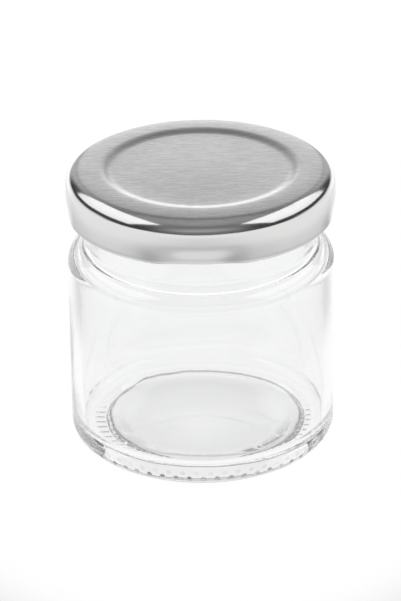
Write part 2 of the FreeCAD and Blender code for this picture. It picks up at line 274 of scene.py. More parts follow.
# %% Raised middle
PUSH_UP_SIDE = 0.6
RIPPLE = 0.4
RIPPLE_WAVES = ((9, 0.5, 0.4), (14, 0.4, 1.9), (23, 0.3, 5.1))
RIPPLE_MIDDLE = 125.0
RIPPLE_REACH = 55.0
RIPPLE_LEAST = 0.2
FLANK_NARROW = 0.6
WIDE_FLANKS = ((-2.0, 42.0, 0.8), (-159.0, 30.0, 0.45), (-90.0, 30.0, 1.0))
TOLERANCE = 0.001


def near_angle(middle, reach):
    """1 round one angle of the jar, falling to 0 at the reach to either side."""
    away = np.abs((np.degrees(turn) - middle + 180) % 360 - 180)
    return 1 - smooth(reach / 2, reach, away)


on_push_up = outside & (height < PUSH_UP_HEIGHT + TOLERANCE)
calm_out = 1 - smooth(BEARING_INNER, BEARING_OUTER, radius)
strength = RIPPLE_LEAST + (1 - RIPPLE_LEAST) * near_angle(RIPPLE_MIDDLE, RIPPLE_REACH)
ripple = RIPPLE * strength * sum(size * np.sin(waves * turn + shift) for waves, size, shift in RIPPLE_WAVES)
wide = np.max([share * near_angle(middle, reach) for middle, reach, share in WIDE_FLANKS], axis=0)
narrow = FLANK_NARROW * (1 - wide)
edge_out = ripple[None, :] * calm_out + narrow[None, :] * (1 - smooth(PUSH_UP_EDGE, BEARING_INNER, radius))
swell = 1 + np.where(on_push_up, edge_out, 0) / PUSH_UP_EDGE
glass_grid[..., 0] *= swell
glass_grid[..., 1] *= swell
glass_grid[..., 0] += np.where(on_push_up, PUSH_UP_SIDE * calm_out, 0)
print("edge of the raised middle ripples by", round(float(np.abs(ripple).max()), 2), "mm")

# %% [markdown]
# ## The thread and the blown inside
# Four sloping ridges on the neck hold the lid's lugs. Each is a band that climbs with the angle and fades
# at its ends. Inside, the wall wanders by a tenth of a millimetre or two, because air and not steel shaped
# it. A few sine waves of different lengths are enough for that, and they repeat exactly each time the
# lesson runs.

# %% Thread ridges
THREAD_STARTS = 4
THREAD_DEPTH = 1.2
THREAD_LEAD = 17.0
THREAD_ARC = 68.0
THREAD_START_ANGLE = -19.0
THREAD_START_HEIGHT = 44.15
THREAD_ROOT_HALF = 0.7
THREAD_CREST_HALF = 0.3
THREAD_FADE = 7.0

ridge = np.zeros_like(radius)
for start in range(THREAD_STARTS):
    along = np.degrees(turn) - THREAD_START_ANGLE - start * 360 / THREAD_STARTS
    along = (along + THREAD_FADE) % 360 - THREAD_FADE
    fade_in = smooth(-THREAD_FADE / 2, THREAD_FADE / 2, along)
    fade_out = smooth(-THREAD_FADE / 2, THREAD_FADE / 2, THREAD_ARC - along)
    middle = THREAD_START_HEIGHT + THREAD_LEAD * along / 360
    flank = 1 - smooth(THREAD_CREST_HALF, THREAD_ROOT_HALF, np.abs(height - middle[None, :]))
    ridge = np.maximum(ridge, flank * (fade_in * fade_out)[None, :])
on_neck = outside & (height > outer_shoulder[-1][1])
out_by += np.where(on_neck, THREAD_DEPTH * ridge, 0)
print("thread has", THREAD_STARTS, "ridges of", THREAD_DEPTH, "mm")

# %% Uneven wall
UNEVEN = 0.1
WALL_WAVES = ((2, 1.0, 0.7, 0.0), (3, 0.6, -1.2, 0.11), (5, 0.4, 0.0, 0.2))
CALM_BELOW = 6.0
CALM_ABOVE = 2.0
WALL_LEAD_IN = 4.0

wander = sum(size * np.sin(waves * turn + shift + twist * height)
             for waves, size, shift, twist in WALL_WAVES)
calm = 1 - smooth(CAVITY_SHOULDER_START - CALM_BELOW, CAVITY_SHOULDER_START + CALM_ABOVE, height)
lead_in = smooth(trough_radius - WALL_LEAD_IN, trough_radius, radius)
out_by += np.where(outside, 0, UNEVEN * wander * calm * lead_in)
scale = 1 + out_by / radius
glass_grid[..., 0] *= scale
glass_grid[..., 1] *= scale
print("inner wall wanders by up to", round(float(np.abs(UNEVEN * wander).max()), 2), "mm")

# %% [markdown]
# ## The floor of the glass
# The middle of the floor is a thick pad. Glass that cooled unevenly left it a little off centre: it sinks
# towards the front and rolls off early at the back. The height of each floor point is therefore a function
# of its distance and angle. One fact is kept with every point for the finish: how close it is to the seam
# that the mould's base plate leaves round the raised middle, which sets how dark the painted shade along
# that edge is.

# %% Floor of the cavity
FLOOR_HEIGHT = 5.2
PAD_RADIUS = 12.9
PAD_SHIFT = 3.1
PAD_SIDE = 0.6
FRONT_DROP = 1.05
DROP_START = -8.0
DROP_END = 16.0
SEAM_WIDTH = 0.22
SEAM_SHADE_STRENGTH = 0.6


def floor_at(distance, angle):
    """The height of the cavity floor at a distance from the axis, for each angle."""
    edge = PAD_RADIUS - PAD_SHIFT * np.sin(angle) + PAD_SIDE * np.cos(angle)
    top = FLOOR_HEIGHT - FRONT_DROP * smooth(DROP_START, DROP_END, -distance * np.sin(angle))
    return TROUGH_HEIGHT + (top - TROUGH_HEIGHT) * (1 - smooth(edge, trough_radius, distance))


on_floor = ~outside & (height < TROUGH_HEIGHT + TOLERANCE) & (radius < trough_radius + TOLERANCE)
glass_grid[..., 2] = np.where(on_floor, floor_at(radius, turn[None, :]), glass_grid[..., 2])
floor_middle = float(floor_at(np.zeros(1), np.zeros(1))[0])
jar = skin("jar_glass", glass_grid, poles=(PUSH_UP_HEIGHT, floor_middle))
along_glass = length_along(glass_profile)
# Painted shade: this value darkens the glass along the edge of the raised middle.
seam_shade = SEAM_SHADE_STRENGTH * np.exp(-((along_glass - along_glass[len(push_up) - 1]) / SEAM_WIDTH) ** 2)
keep_value(jar, "seam_shade", np.r_[np.repeat(seam_shade, SEGMENTS), 0, 0])
print("floor is", round(floor_middle, 2), "mm up in the middle")

# %% [markdown]
# ## The lid
# The lid is stamped from one flat disc of tinplate: a panel pressed down a little, a slightly domed ring, a
# rounded shoulder and a skirt whose edge is rolled inwards. At four places the roll is squeezed flat and
# pushed in. Those are the lugs. So there are two cross-sections with the same number of points, and the
# skin passes from one to the other near each lug.

# %% Lid sizes
LID_RADIUS = 23.15
LID_BASE = 42.0
LID_HEIGHT = 8.3
LID_SHOULDER = 2.6
METAL = 0.24
PANEL_RADIUS = 14.9
PANEL_CROWN = 0.15
RING_DOME = 45.0
STEP_WIDTH = 2.5
STEP_DEPTH = 0.4

step_turn = 2 * math.degrees(math.atan(STEP_DEPTH / STEP_WIDTH))
step_radius = (STEP_WIDTH ** 2 + STEP_DEPTH ** 2) / (4 * STEP_DEPTH)
panel_top = LID_HEIGHT - STEP_DEPTH
flat_outer = LID_RADIUS - LID_SHOULDER
step_outer = PANEL_RADIUS + STEP_WIDTH
ring_tilt = math.degrees(math.asin((flat_outer - step_outer) / (RING_DOME - LID_SHOULDER)))
dome_centre = LID_HEIGHT - RING_DOME
skirt_top = dome_centre + (RING_DOME - LID_SHOULDER) * math.cos(math.radians(ring_tilt))
print("lid is", 2 * LID_RADIUS, "mm across and", LID_HEIGHT, "mm high")

# %% Lid sections
CURL = 0.85
DENT_HEIGHT = 3.8
DENT_DEPTH = 0.4
LUG_BOTTOM = 0.4
LUG_TOP = 1.4
LUG_TIP = 20.45
TONGUE_END = 0.1
BEND_STEPS = 8
ROLL_STEPS = 26


def pressed_top(drop):
    """The lid's upper side from panel to skirt, or its underside when dropped by the metal's thickness."""
    panel = run((POLE_GAP, panel_top - drop), (PANEL_RADIUS, panel_top - drop), 10)
    panel[:, 1] += PANEL_CROWN * (1 - (panel[:, 0] / PANEL_RADIUS) ** 2) ** 2
    return path(
        panel,
        arc((PANEL_RADIUS, panel_top + step_radius), step_radius + drop, -90, -90 + step_turn, 8),
        arc((step_outer, LID_HEIGHT - step_radius), step_radius - drop, 90 + step_turn, 90, 8),
        arc((step_outer, dome_centre), RING_DOME - drop, 90, 90 - ring_tilt, 6),
        arc((flat_outer, skirt_top), LID_SHOULDER - drop, 90 - ring_tilt, 0, 20),
        run((LID_RADIUS - drop, skirt_top), (LID_RADIUS - drop, DENT_HEIGHT), 9),
    )


def even(points, count):
    """The same line with its points spaced evenly."""
    length = length_along(points)
    at = np.linspace(0, length[-1], count)
    return np.column_stack([np.interp(at, length, points[:, 0]), np.interp(at, length, points[:, 1])])


def rolled(drop):
    """The lower skirt and the round curl, from the dent's height to the sheet's edge."""
    return (run((LID_RADIUS - drop, DENT_HEIGHT), (LID_RADIUS - drop, CURL), BEND_STEPS),
            arc((LID_RADIUS - CURL, CURL), CURL - drop, 0, -270, ROLL_STEPS))


def squeezed(drop):
    """The same metal at a lug: the skirt bends in and the curl is pressed into a flat tongue."""
    half = (LUG_TOP - LUG_BOTTOM) / 2
    middle = LUG_BOTTOM + half
    corner = LID_RADIUS - DENT_DEPTH - half
    bend_share = np.linspace(0, 1, BEND_STEPS)
    bend = np.column_stack([LID_RADIUS - drop - DENT_DEPTH * smooth(0, 1, bend_share),
                            DENT_HEIGHT + (middle - DENT_HEIGHT) * bend_share])
    tongue = path(
        arc((corner, middle), half - drop, 0, -90, 12),
        run((corner, LUG_BOTTOM + drop), (LUG_TIP + half, LUG_BOTTOM + drop), 8),
        arc((LUG_TIP + half, middle), half - drop, -90, -270, 16),
        run((LUG_TIP + half, LUG_TOP - drop), (corner + TONGUE_END, LUG_TOP - drop), 8),
    )
    return bend, even(tongue, ROLL_STEPS)


def lid_section(edge):
    """A whole cross-section, over the top and back along the underside, and where the underside starts."""
    outer = path(pressed_top(0), *edge(0))
    inner = path(pressed_top(METAL), *edge(METAL))
    return np.vstack([outer, inner[::-1]]), len(outer)


plain_section, underside_start = lid_section(rolled)
lug_section = lid_section(squeezed)[0]
print("lid sections have", len(plain_section), "and", len(lug_section), "points")

# %% [markdown]
# ## Bending the lid round
# The two sections are spun and mixed by the distance from the nearest lug. Stamping also leaves the skirt a
# little barrelled and wavy, and the tool that presses a lug leaves a shallow dimple at each of its
# ends, a little off centre. That is why the reflections on a real lid are never quite even. Three facts are
# kept with every point for the finish: where it lay on the flat sheet, whether it is on the inside, and how
# hard the tool pressed it. The last also sets painted shade, which darkens the metal in the dimples.

# %% Mix the two sections
LID_SEGMENTS = 480
LUG_PITCH = 360 / THREAD_STARTS
LUG_HALF_ANGLE = 18.0
LUG_BLEND_IN = 12.0
LUG_BLEND_OUT = 3.0

lid_grid, lid_turn = spin(plain_section, LID_SEGMENTS)
lug_grid = spin(lug_section, LID_SEGMENTS)[0]


def from_lug(shift):
    """Degrees from the middle of the nearest lug, with all the lugs taken to stand a little to one side."""
    return np.abs((np.degrees(lid_turn) + shift + LUG_PITCH / 2) % LUG_PITCH - LUG_PITCH / 2)


lug_share = 1 - smooth(LUG_HALF_ANGLE - LUG_BLEND_IN, LUG_HALF_ANGLE + LUG_BLEND_OUT, from_lug(0))
lid_grid += (lug_grid - lid_grid) * lug_share[None, :, None]
print("lugs take", round(float(lug_share.mean()), 2), "of the lid's edge")

# %% Press the skirt
WAVE_DEPTH = 0.04
WAVE_FADE = (5.0, 8.0)
SKIRT_WAVES = ((7, 0.4, 1.1), (13, 0.35, 4.0), (29, 0.25, 0.3))
BARREL_TOP = 0.12
BARREL_FOOT = 0.06
BARREL_MIDDLE = 3.4
DIMPLE_DEPTH = 0.05
DIMPLE_SHIFT = 4.0
DIMPLE_SPREAD = 5.5
DIMPLE_HEIGHT = 1.2
DIMPLE_TALL = 1.4

lid_up = lid_grid[..., 2].copy()
from_top = LID_HEIGHT - lid_up
wave = sum(size * np.sin(waves * lid_turn + shift) for waves, size, shift in SKIRT_WAVES)
below_top = smooth(0, LID_SHOULDER, from_top) * (1 - smooth(*WAVE_FADE, from_top))
barrel = BARREL_TOP * smooth(BARREL_MIDDLE, LID_HEIGHT, lid_up)
barrel = barrel + BARREL_FOOT * smooth(BARREL_MIDDLE, 0, lid_up)
pressed = np.exp(-((from_lug(DIMPLE_SHIFT) - LUG_HALF_ANGLE) / DIMPLE_SPREAD) ** 2)[None, :]
pressed = pressed * np.exp(-((lid_up - DIMPLE_HEIGHT) / DIMPLE_TALL) ** 2)
barrel = barrel + DIMPLE_DEPTH * pressed
on_skirt = smooth(step_outer, LID_RADIUS, np.hypot(lid_grid[..., 0], lid_grid[..., 1]))
pull_in = 1 - (WAVE_DEPTH * (1 - wave[None, :]) / 2 * below_top + barrel * on_skirt) / LID_RADIUS
lid_grid[..., 0] *= pull_in
lid_grid[..., 1] *= pull_in
print("skirt is pulled in by up to", round(float((1 - pull_in).max()) * LID_RADIUS, 2), "mm")

# %% Skin the lid
along_sheet = length_along(plain_section)
along_sheet = np.minimum(along_sheet, along_sheet[-1] - along_sheet)[:, None] * MM
flat = np.zeros(lid_grid.shape[:2])
sheet_place = np.dstack([along_sheet * np.cos(lid_turn), along_sheet * np.sin(lid_turn), flat])
sheet_values = np.vstack([sheet_place.reshape(-1, 3), np.zeros((2, 3))])
inside_lid = np.repeat((np.arange(len(plain_section)) >= underside_start)[:, None], LID_SEGMENTS, axis=1)

lid_grid[..., 2] += LID_BASE
crown_top = LID_BASE + panel_top + PANEL_CROWN
lid = skin("lid_tinplate", lid_grid, poles=(crown_top, crown_top - METAL), flip=True)
lid.data.attributes.new("sheet", "FLOAT_VECTOR", "POINT").data.foreach_set("vector", sheet_values.ravel())
keep_value(lid, "inside", np.r_[inside_lid.reshape(-1), False, True].astype(float))
keep_value(lid, "pressed", np.r_[pressed.reshape(-1), 0, 0])
print("flat disc was", round(2 * float(along_sheet.max()) / MM, 1), "mm across")

# %% [markdown]
# ## The sealing ring
# A soft compound is poured into the lid's channel and cured there. It takes the shape of the rim that it is
# pressed on, so its lower side is the rim's own curve with a hair of room.

# %% Shape the sealing ring
SEAL_INNER = 18.0
SEAL_OUTER = 20.5
SEAL_TOP = 50.06
SEAL_ROOM = 0.02
SEAL_HANG = 0.2
SEAL_CORNER = 0.12
CORNER_WIDTH = 0.25
SIDE_FOOT = 0.1
SIDE_TOP = 0.01
SEAL_SEGMENTS = 240

across = np.linspace(SEAL_INNER, SEAL_OUTER, 40)
from_edge = np.clip(np.minimum(across - MOUTH_RADIUS, NECK_RADIUS - across), 0, RIM_ROUND)
rim_drop = RIM_ROUND - np.sqrt(RIM_ROUND ** 2 - (RIM_ROUND - from_edge) ** 2)
to_edge = np.minimum(across - SEAL_INNER, SEAL_OUTER - across)
corner = SEAL_CORNER * (1 - smooth(0, CORNER_WIDTH, to_edge))
under = RIM_HEIGHT + SEAL_ROOM - np.minimum(rim_drop, SEAL_HANG) + corner
seal_profile = np.vstack([
    np.column_stack([across, under]),
    run((SEAL_OUTER, under[-1] + SIDE_FOOT), (SEAL_OUTER, SEAL_TOP - SIDE_TOP), 6),
    run((SEAL_OUTER, SEAL_TOP), (SEAL_INNER, SEAL_TOP), 10),
    run((SEAL_INNER, SEAL_TOP - SIDE_TOP), (SEAL_INNER, under[0] + SIDE_FOOT), 6),
])
seal = skin("seal_compound", spin(seal_profile, SEAL_SEGMENTS)[0], looped=True)

# %% [markdown]
# ## Effects that the finishes share
# Two effects serve more than one material, so each is a node group with named inputs. Grain is noise
# stretched along one direction: long and thin it is the roller's grain on sheet metal, and equal both ways
# it is the fine pitting of a cast compound or the slow waves of glass. Marks are soft patches where
# handling has changed a surface.

# %% Node helpers


def new_group(name, inputs, outputs):
    """An empty shader node group with its named inputs, and outputs that are plain values."""
    group = bpy.data.node_groups.new(name, "ShaderNodeTree")
    for label, kind in inputs:
        group.interface.new_socket(label, in_out="INPUT", socket_type=kind)
    for label in outputs:
        group.interface.new_socket(label, in_out="OUTPUT", socket_type="NodeSocketFloat")
    return group, group.nodes.new("NodeGroupInput"), group.nodes.new("NodeGroupOutput")


def add(tree, kind, **settings):
    """A new node with some of its properties set."""
    node = tree.nodes.new(kind)
    for name, value in settings.items():
        setattr(node, name, value)
    return node


def remap(tree, source, low, high, new_low, new_high):
    """A soft change of range for one value."""
    node = add(tree, "ShaderNodeMapRange", interpolation_type="SMOOTHSTEP")
    tree.links.new(source, node.inputs["Value"])
    for label, value in (("From Min", low), ("From Max", high), ("To Min", new_low), ("To Max", new_high)):
        node.inputs[label].default_value = value
    return node.outputs["Result"]


def calc(tree, operation, *terms):
    """A maths node whose terms are sockets or plain numbers."""
    node = add(tree, "ShaderNodeMath", operation=operation)
    for socket, term in zip(node.inputs, terms):
        if isinstance(term, (int, float)):
            socket.default_value = term
        else:
            tree.links.new(term, socket)
    return node.outputs["Value"]


# %% Grain group
GRAIN_LAYERS = (("Grain", 1.0, 3.0), ("Fine", 3.5, 2.0))
GRAIN_DISTORTION = 0.35

grain_group, start, end = new_group("grain", (
    ("Place", "NodeSocketVector"),
    ("Length", "NodeSocketFloat"),
    ("Width", "NodeSocketFloat"),
), ("Grain", "Fine"))
stretch = add(grain_group, "ShaderNodeCombineXYZ")
for label, axis in (("Length", "X"), ("Width", "Y"), ("Width", "Z")):
    grain_group.links.new(start.outputs[label], stretch.inputs[axis])
divide = add(grain_group, "ShaderNodeVectorMath", operation="DIVIDE")
grain_group.links.new(start.outputs["Place"], divide.inputs[0])
grain_group.links.new(stretch.outputs["Vector"], divide.inputs[1])
for label, finer, detail in GRAIN_LAYERS:
    noise = add(grain_group, "ShaderNodeTexNoise")
    noise.inputs["Scale"].default_value = finer
    noise.inputs["Detail"].default_value = detail
    noise.inputs["Distortion"].default_value = GRAIN_DISTORTION
    grain_group.links.new(divide.outputs["Vector"], noise.inputs["Vector"])
    grain_group.links.new(noise.outputs["Fac"], end.inputs[label])
print("grain group has", len(grain_group.nodes), "nodes")

# %% Marks group
MARK_DETAIL = 5.0
MARK_DISTORTION = 0.6
MARK_RANGE = (0.5, 0.75)

marks_group, start, end = new_group("marks", (
    ("Place", "NodeSocketVector"),
    ("Size", "NodeSocketFloat"),
), ("Mask", "Drift"))
shrink = calc(marks_group, "DIVIDE", 1.0, start.outputs["Size"])
cloud = add(marks_group, "ShaderNodeTexNoise")
cloud.inputs["Detail"].default_value = MARK_DETAIL
cloud.inputs["Distortion"].default_value = MARK_DISTORTION
marks_group.links.new(start.outputs["Place"], cloud.inputs["Vector"])
marks_group.links.new(shrink, cloud.inputs["Scale"])
marks_group.links.new(remap(marks_group, cloud.outputs["Fac"], *MARK_RANGE, 0, 1), end.inputs["Mask"])
marks_group.links.new(cloud.outputs["Fac"], end.inputs["Drift"])
print("marks group has", len(marks_group.nodes), "nodes")

# %% [markdown]
# ## Clear glass
# Soda-lime glass bends light by about 1.52 and takes a little of it at each face. The colour drifts by
# about two parts in a hundred, a few touched patches are a trace duller, and a very low bump gives the slow
# waves that chilled glass keeps from its mould. The dents on the heel and the seam of the base are left
# rough by the mould, and both carry painted shade: a near-black colour stands in for the dark that they
# show by bending light. The dots are drawn only on faces seen from outside, or the far side
# would show them too, magnified.

# %% Material helpers
# A mix node lists its colour sockets after those for numbers and vectors.
MIX_COLOURS = slice(6, 8)
MIX_RESULT = 2


def new_material(name):
    """A material, its node tree and its shader."""
    material = bpy.data.materials.new(name)
    material.use_nodes = True
    return material, material.node_tree, material.node_tree.nodes["Principled BSDF"]


def use_group(tree, group, place, **values):
    """A group node with its place linked and its other inputs set."""
    node = add(tree, "ShaderNodeGroup", node_tree=group)
    tree.links.new(place, node.inputs["Place"])
    for label, value in values.items():
        node.inputs[label].default_value = value
    return node


def kept_value(tree, label):
    """A number that was kept with the points of a piece."""
    return add(tree, "ShaderNodeAttribute", attribute_name=label).outputs["Fac"]


def tint(tree, factor, *colours):
    """A mix of two colours, each a socket or a plain colour."""
    mix = add(tree, "ShaderNodeMix", data_type="RGBA")
    tree.links.new(factor, mix.inputs["Factor"])
    for socket, colour in zip(mix.inputs[MIX_COLOURS], colours):
        if isinstance(colour, tuple):
            socket.default_value = colour
        else:
            tree.links.new(colour, socket)
    return mix.outputs[MIX_RESULT]


def raise_by(tree, height, distance):
    """A bump node's normal for a height."""
    bump = add(tree, "ShaderNodeBump")
    bump.inputs["Strength"].default_value = 1.0
    bump.inputs["Distance"].default_value = distance
    tree.links.new(height, bump.inputs["Height"])
    return bump.outputs["Normal"]


# %% Dots on the heel
STIPPLE_ROWS = ((0.0022, 0.0, 1.0), (0.0032, 0.5, 0.25))
STIPPLE_LONG = 0.0005
STIPPLE_TALL = 0.00042
STIPPLE_EDGE = (0.4, 1.3)
STIPPLE_INNER = 0.0205


def stipple(tree, place):
    """The strength of the dots in each row round the heel, and 0 elsewhere; it sets where painted shade
    darkens the glass.
    """
    split = add(tree, "ShaderNodeSeparateXYZ")
    tree.links.new(place, split.inputs["Vector"])
    x, y, z = (split.outputs[axis] for axis in "XYZ")
    squares = [calc(tree, "MULTIPLY", side, side) for side in (x, y)]
    radius = calc(tree, "SQRT", calc(tree, "ADD", *squares))
    pitches = calc(tree, "MULTIPLY", calc(tree, "ARCTAN2", y, x), NOTCH_COUNT / (2 * math.pi))
    total = 0.0
    for row, shift, strength in STIPPLE_ROWS:
        off_dot = calc(tree, "PINGPONG", calc(tree, "ADD", pitches, shift), 0.5)
        along = calc(tree, "MULTIPLY", off_dot, pitch * JAR_RADIUS * MM / STIPPLE_LONG)
        up = calc(tree, "DIVIDE", calc(tree, "SUBTRACT", z, row), STIPPLE_TALL)
        away = calc(tree, "ADD", calc(tree, "MULTIPLY", along, along), calc(tree, "MULTIPLY", up, up))
        total = calc(tree, "MAXIMUM", remap(tree, away, *STIPPLE_EDGE, strength, 0), total)
    return calc(tree, "MULTIPLY", total, calc(tree, "GREATER_THAN", radius, STIPPLE_INNER))


# %% Clear glass material
GLASS_BEND = 1.52
GLASS_LIGHT = (0.972, 0.975, 0.974, 1)
GLASS_DARK = (0.955, 0.960, 0.958, 1)
GLASS_DULL = 0.012
GLASS_WAVE = 0.000012
GLASS_WAVE_SIZE = 0.009
TOUCH_SIZE = 0.012
UNEVEN_FROM = (0.35, 0.6)
UNEVEN_TO = (0.45, 1)
# Painted shade: the near-black colour of the heel dots and the base seam stands in for the dark they show
# by bending light.
STIPPLE_SHADE = (0.06, 0.06, 0.06, 1)
STIPPLE_DULL = 0.2
STIPPLE_HEIGHT = 0.00002

glass_material, tree, shader = new_material("clear_glass")
place = add(tree, "ShaderNodeTexCoord").outputs["Object"]
touched = use_group(tree, marks_group, place, Size=TOUCH_SIZE)
waves = use_group(tree, grain_group, place, Length=GLASS_WAVE_SIZE, Width=GLASS_WAVE_SIZE)
from_outside = remap(tree, add(tree, "ShaderNodeNewGeometry").outputs["Backfacing"], 0, 1, 1, 0)
uneven = remap(tree, waves.outputs["Fine"], *UNEVEN_FROM, *UNEVEN_TO)
dots = calc(tree, "MULTIPLY", calc(tree, "MULTIPLY", stipple(tree, place), from_outside), uneven)
dots = calc(tree, "MAXIMUM", dots, kept_value(tree, "seam_shade"))
clear = tint(tree, touched.outputs["Drift"], GLASS_LIGHT, GLASS_DARK)
# Painted shade darkens the clear glass on the heel dots and along the base seam.
tree.links.new(tint(tree, dots, clear, STIPPLE_SHADE), shader.inputs["Base Color"])
dull = remap(tree, touched.outputs["Mask"], 0, 1, 0, GLASS_DULL)
tree.links.new(calc(tree, "MULTIPLY_ADD", dots, STIPPLE_DULL, dull), shader.inputs["Roughness"])
relief = calc(tree, "MULTIPLY_ADD", waves.outputs["Grain"], GLASS_WAVE / STIPPLE_HEIGHT, dots)
tree.links.new(raise_by(tree, relief, STIPPLE_HEIGHT), shader.inputs["Normal"])
shader.inputs["IOR"].default_value = GLASS_BEND
shader.inputs["Transmission Weight"].default_value = 1.0
jar.data.materials.append(glass_material)
print("glass bends light by", GLASS_BEND)

# %% [markdown]
# ## Tinplate
# Steel sheet with a thin coat of tin and clear lacquer is bright, but the rollers leave straight grain on
# it. The grain is laid out on the flat sheet before stamping, so it stays straight over the panel, and it
# is drawn smooth where the metal turns down into the skirt. The dimples at the lugs are darkened with
# painted shade. The inside has a pale lacquer that keeps food off the metal, chosen by the point mask.

# %% Tinplate material
TIN_LIGHT = (0.77, 0.77, 0.765, 1)
TIN_DARK = (0.6, 0.6, 0.598, 1)
# Painted shade: the darker metal colour in the dimples at the lugs.
TIN_DIMPLE_SHADE = (0.5, 0.5, 0.496, 1)
LACQUER_LIGHT = (0.80, 0.795, 0.77, 1)
LACQUER_DARK = (0.74, 0.735, 0.71, 1)
GRAIN_LENGTH = 0.0042
GRAIN_WIDTH = 0.0005
GRAIN_HEIGHT = 0.0000012
GRAIN_END = 0.0206
GRAIN_GONE = 0.0226
STREAK_RANGE = (0.7, 1.3)
STREAK_ROUGHNESS = (0.16, 0.10)
HANDLED_SIZE = 0.014
HANDLED_DULL = 0.03

tin_material, tree, shader = new_material("tinplate")
place = add(tree, "ShaderNodeAttribute", attribute_name="sheet").outputs["Vector"]
inside = kept_value(tree, "inside")
rolled_grain = use_group(tree, grain_group, place, Length=GRAIN_LENGTH, Width=GRAIN_WIDTH)
handled = use_group(tree, marks_group, place, Size=HANDLED_SIZE)
from_middle = add(tree, "ShaderNodeVectorMath", operation="LENGTH")
tree.links.new(place, from_middle.inputs[0])
on_top = remap(tree, from_middle.outputs["Value"], GRAIN_END, GRAIN_GONE, 1, 0)
streak = calc(tree, "ADD", rolled_grain.outputs["Grain"], rolled_grain.outputs["Fine"])
streak = calc(tree, "MULTIPLY_ADD", calc(tree, "SUBTRACT", streak, 1.0), on_top, 1.0)
streak_share = remap(tree, streak, *STREAK_RANGE, 0, 1)
metal_colour = tint(tree, streak_share, TIN_DARK, TIN_LIGHT)
# Painted shade darkens the metal where the tool pressed the dimples.
metal_colour = tint(tree, kept_value(tree, "pressed"), metal_colour, TIN_DIMPLE_SHADE)
lacquer_colour = tint(tree, handled.outputs["Drift"], LACQUER_DARK, LACQUER_LIGHT)
tree.links.new(tint(tree, inside, metal_colour, lacquer_colour), shader.inputs["Base Color"])
tree.links.new(remap(tree, inside, 0, 1, 1, 0), shader.inputs["Metallic"])
shine = remap(tree, streak_share, 0, 1, *STREAK_ROUGHNESS)
duller = calc(tree, "MULTIPLY_ADD", handled.outputs["Mask"], HANDLED_DULL, shine)
tree.links.new(duller, shader.inputs["Roughness"])
tree.links.new(raise_by(tree, streak, GRAIN_HEIGHT), shader.inputs["Normal"])
lid.data.materials.append(tin_material)
print("tinplate uses", len(tree.nodes), "nodes")

# %% [markdown]
# ## Sealing compound
# The compound is a soft off-white plastic with a satin skin. Its grain is the same both ways and very fine,
# and the marks show as slightly shinier patches where the rim has pressed it.

# %% Sealing compound material
SEAL_LIGHT = (0.80, 0.79, 0.755, 1)
SEAL_DARK = (0.72, 0.71, 0.675, 1)
SEAL_ROUGHNESS = (0.55, 0.4)
PIT_SIZE = 0.0005
PIT_DEPTH = 0.00001
RIM_MARK_SIZE = 0.006

seal_material, tree, shader = new_material("sealing_compound")
place = add(tree, "ShaderNodeTexCoord").outputs["Object"]
pits = use_group(tree, grain_group, place, Length=PIT_SIZE, Width=PIT_SIZE)
rim_marks = use_group(tree, marks_group, place, Size=RIM_MARK_SIZE)
tree.links.new(tint(tree, pits.outputs["Grain"], SEAL_DARK, SEAL_LIGHT), shader.inputs["Base Color"])
tree.links.new(remap(tree, rim_marks.outputs["Mask"], 0, 1, *SEAL_ROUGHNESS), shader.inputs["Roughness"])
tree.links.new(raise_by(tree, pits.outputs["Fine"], PIT_DEPTH), shader.inputs["Normal"])
seal.data.materials.append(seal_material)
print("compound uses", len(tree.nodes), "nodes")

# %% [markdown]
# ## Joining the pieces to the frame
# Every skin rides on the body that carries its solid, so the lid climbs and turns with its joints. The
# solid that each one stands in for is hidden.

# %% Join the pieces to the frame
for piece, body, node, slot in (
    (jar, "jar", "glass_jar", "clear_glass"),
    (lid, "lid", "lid_shell", "tinplate"),
    (seal, "seal", "sealing_ring", "sealing_compound"),
):
    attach(piece, body)
    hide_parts(node)
    print(piece.name, "rides", body)

# %% [markdown]
# ## The table
# The jar was photographed on a white surface lit so strongly that it has no shadow. A plane that gives off
# light does the same and lights the glass from below. Its glow carries painted shadow and light: it is a
# little dimmer under the jar, where less light reaches, and in a wide soft ring of painted shade in front
# and beside it, which the upright skirt of the lid shows as its grey. Far behind the jar it is brighter, a
# painted pool of light where the lamps shine on it directly.

# %% Table top
TABLE_HALF = 1.5
TABLE_DROP = 0.00002
SQUARE = ((-1, -1), (1, -1), (1, 1), (-1, 1))

table_mesh = bpy.data.meshes.new("table")
table_corners = [(x * TABLE_HALF, y * TABLE_HALF, -TABLE_DROP) for x, y in SQUARE]
table_mesh.from_pydata(table_corners, [], [(0, 1, 2, 3)])
table = bpy.data.objects.new("table", table_mesh)
bpy.context.scene.collection.objects.link(table)
print("table is", 2 * TABLE_HALF, "m wide")

# %% White table material
# Painted shadow under the jar and in a ring in front and beside it, and a painted pool of light far behind.
NEAR_STOPS = ((0.0, 0.95), (0.013, 0.88), (0.0175, 0.87), (0.0203, 1.0))
FRONT_TABLE = NEAR_STOPS + ((0.062, 1.0), (0.088, 0.75), (0.115, 0.73), (0.17, 1.1), (1.0, 1.12))
BACK_TABLE = NEAR_STOPS + ((0.12, 1.0), (0.3, 1.35), (1.0, 1.35))
BACK_WEDGE = (0.6, 0.8)
SIDE_STRETCH = (1.35, 1.0, 1.0)


def grey_ramp(tree, source, stops):
    """A smooth grey scale along a value from 0 to 1."""
    ramp = add(tree, "ShaderNodeValToRGB")
    ramp.color_ramp.interpolation = "EASE"
    while len(ramp.color_ramp.elements) < len(stops):
        ramp.color_ramp.elements.new(0.5)
    for element, (at, grey) in zip(ramp.color_ramp.elements, stops):
        element.position = at
        element.color = (grey, grey, grey, 1)
    tree.links.new(source, ramp.inputs["Fac"])
    return ramp.outputs["Color"]


